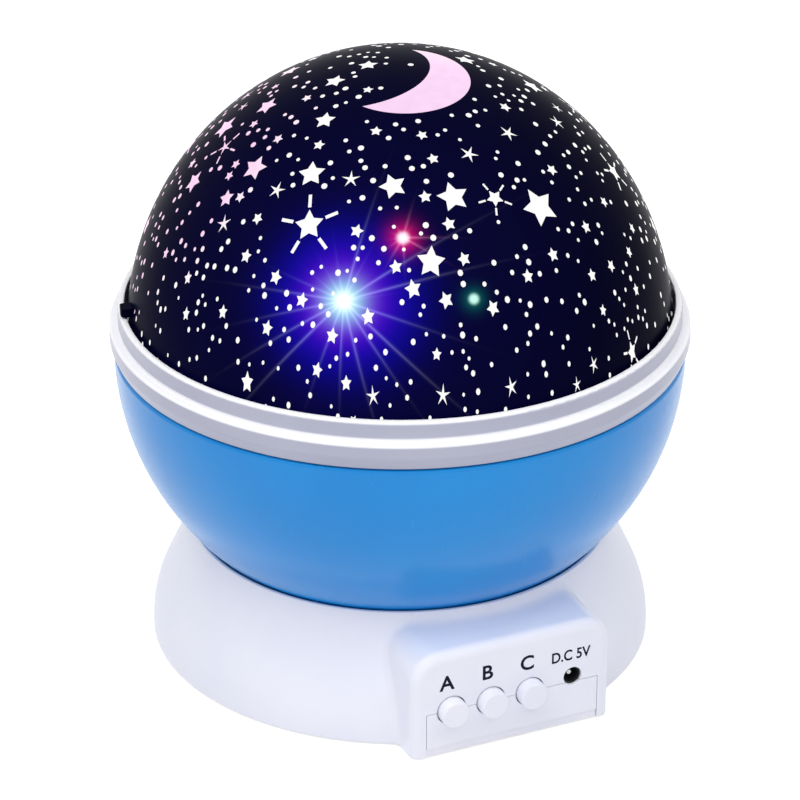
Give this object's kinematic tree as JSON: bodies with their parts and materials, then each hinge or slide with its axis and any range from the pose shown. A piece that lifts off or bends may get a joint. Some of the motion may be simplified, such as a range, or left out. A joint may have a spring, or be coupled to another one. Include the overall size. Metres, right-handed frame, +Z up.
{
  "type": "star night light projector",
  "caption": "Globe night light: a star-windowed dome and a bowl turn on a round battery base with push buttons and a power socket on its front.",
  "frame": {"origin": "on the table, on the upright axis that the ball turns about", "axes": "+Z up, the control panel faces -Y, the power socket is on the panel's +X side"},
  "size_m": [0.125, 0.125, 0.1329],
  "materials": {
    "white_shell": "moulded, semi-gloss",
    "blue_bowl": "moulded, gloss",
    "star_dome": "printed, semi-gloss, with clear windows",
    "inner_plastic": "moulded, matte",
    "acetal": "moulded, low-friction",
    "plated_steel": "nickel plated",
    "circuit_board": "solder mask",
    "black_plastic": "moulded, matte",
    "capacitor_can": "sleeved can",
    "rubber_foot": "soft",
    "battery": "printed sleeve",
    "lamp_wire": "insulated",
    "motor_wire": "insulated",
    "battery_wire": "insulated",
    "led_red": "clear tinted",
    "led_green": "clear tinted",
    "led_blue": "clear tinted",
    "led_white": "clear"
  },
  "bodies": {
    "base": {"base_screws": "plated_steel", "base_shell": "white_shell", "battery_1": "battery", "battery_2": "battery", "battery_3": "battery", "battery_4": "battery", "battery_contacts": "plated_steel", "battery_springs": "plated_steel", "battery_wires": "battery_wire", "board_screws": "plated_steel", "bottom_cover": "white_shell", "capacitor": "capacitor_can", "column_screws": "plated_steel", "controller_chip": "black_plastic", "dc_pin": "plated_steel", "dc_socket": "black_plastic", "foot_1": "rubber_foot", "foot_2": "rubber_foot", "foot_3": "rubber_foot", "foot_4": "rubber_foot", "gearbox": "inner_plastic", "lamp_board": "circuit_board", "lamp_board_screws": "plated_steel", "lamp_column": "inner_plastic", "lamp_post": "inner_plastic", "lamp_post_screws": "plated_steel", "lamp_wires": "lamp_wire", "led_blue": "led_blue", "led_green": "led_green", "led_red": "led_red", "led_white": "led_white", "main_board": "circuit_board", "motor_can": "plated_steel", "motor_chassis": "inner_plastic", "motor_screws": "plated_steel", "motor_wires": "motor_wire", "retaining_ring": "plated_steel", "switch_a": "black_plastic", "switch_b": "black_plastic", "switch_c": "black_plastic", "thrust_washer": "acetal"},
    "ball": {"bowl": "blue_bowl", "rim_ring": "white_shell", "reflector_plate": "inner_plastic", "rim_screws": "plated_steel", "ring_gear": "acetal", "gear_screws": "plated_steel", "hub_bush": "acetal"},
    "dome": {"star_dome": "star_dome"},
    "drive": {"drive_pinion": "acetal", "drive_shaft": "plated_steel"},
    "button_a": {"button_a": "white_shell", "plunger_a": "black_plastic"},
    "button_b": {"button_b": "white_shell", "plunger_b": "black_plastic"},
    "button_c": {"button_c": "white_shell", "plunger_c": "black_plastic"},
    "battery_door": {"battery_door": "white_shell", "door_screw": "plated_steel"}
  },
  "joints": [
    {"name": "ball_spin", "type": "hinge", "parent": "base", "child": "ball", "pos_m": [0, 0, 0.025], "axis": [0, 0, 1], "continuous": true},
    {"name": "drive_spin", "type": "hinge", "parent": "base", "child": "drive", "pos_m": [0, 0.024, 0.028], "axis": [0, 0, 1], "continuous": true},
    {"name": "dome_twist", "type": "hinge", "parent": "ball", "child": "dome", "pos_m": [0, 0, 0.073], "axis": [0, 0, 1], "range_deg": [-15, 0]},
    {"name": "button_a_press", "type": "slide", "parent": "base", "child": "button_a", "axis": [0, 1, 0], "range_m": [0, 0.001], "stiffness_N_per_m": 600, "springref_m": -0.001},
    {"name": "button_b_press", "type": "slide", "parent": "base", "child": "button_b", "axis": [0, 1, 0], "range_m": [0, 0.001], "stiffness_N_per_m": 600, "springref_m": -0.001},
    {"name": "button_c_press", "type": "slide", "parent": "base", "child": "button_c", "axis": [0, 1, 0], "range_m": [0, 0.001], "stiffness_N_per_m": 600, "springref_m": -0.001},
    {"name": "battery_door_hinge", "type": "hinge", "parent": "base", "child": "battery_door", "pos_m": [0, 0.022, 0.0006], "axis": [1, 0, 0], "range_deg": [0, 80]}
  ],
  "couplings": [
    {"joint": "drive_spin", "follows": "ball_spin", "ratio": 5}
  ]
}
